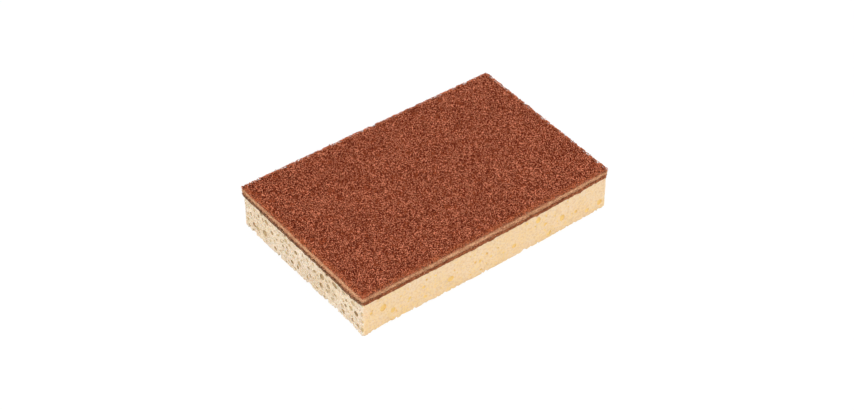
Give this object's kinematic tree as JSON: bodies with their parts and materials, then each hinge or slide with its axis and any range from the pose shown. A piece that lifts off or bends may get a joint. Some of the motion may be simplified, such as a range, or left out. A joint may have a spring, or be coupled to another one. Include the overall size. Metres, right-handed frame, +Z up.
{
  "type": "cleaning sponge",
  "caption": "Rectangular household cleaning sponge: a porous cream cellulose block with a brown non-woven scouring pad glued on top.",
  "frame": {"origin": "middle of the resting face of the sponge, at the centre of the outline", "axes": "+X along the long sides, +Y across the width, +Z up from the sponge to the scouring pad"},
  "size_m": [0.1408, 0.0932, 0.0225],
  "materials": {
    "cellulose_sponge": "dry open-celled cellulose foam, matt, with cut pores",
    "dark_adhesive": "dark brown set adhesive soaked into the web, matt",
    "brown_fibre_web": "non-woven web of brown resin-coated fibres, matt, frayed cut edges"
  },
  "bodies": {
    "root": {"sponge_block": "cellulose_sponge", "bond_layer": "dark_adhesive", "scouring_pad": "brown_fibre_web"}
  },
  "joints": []
}
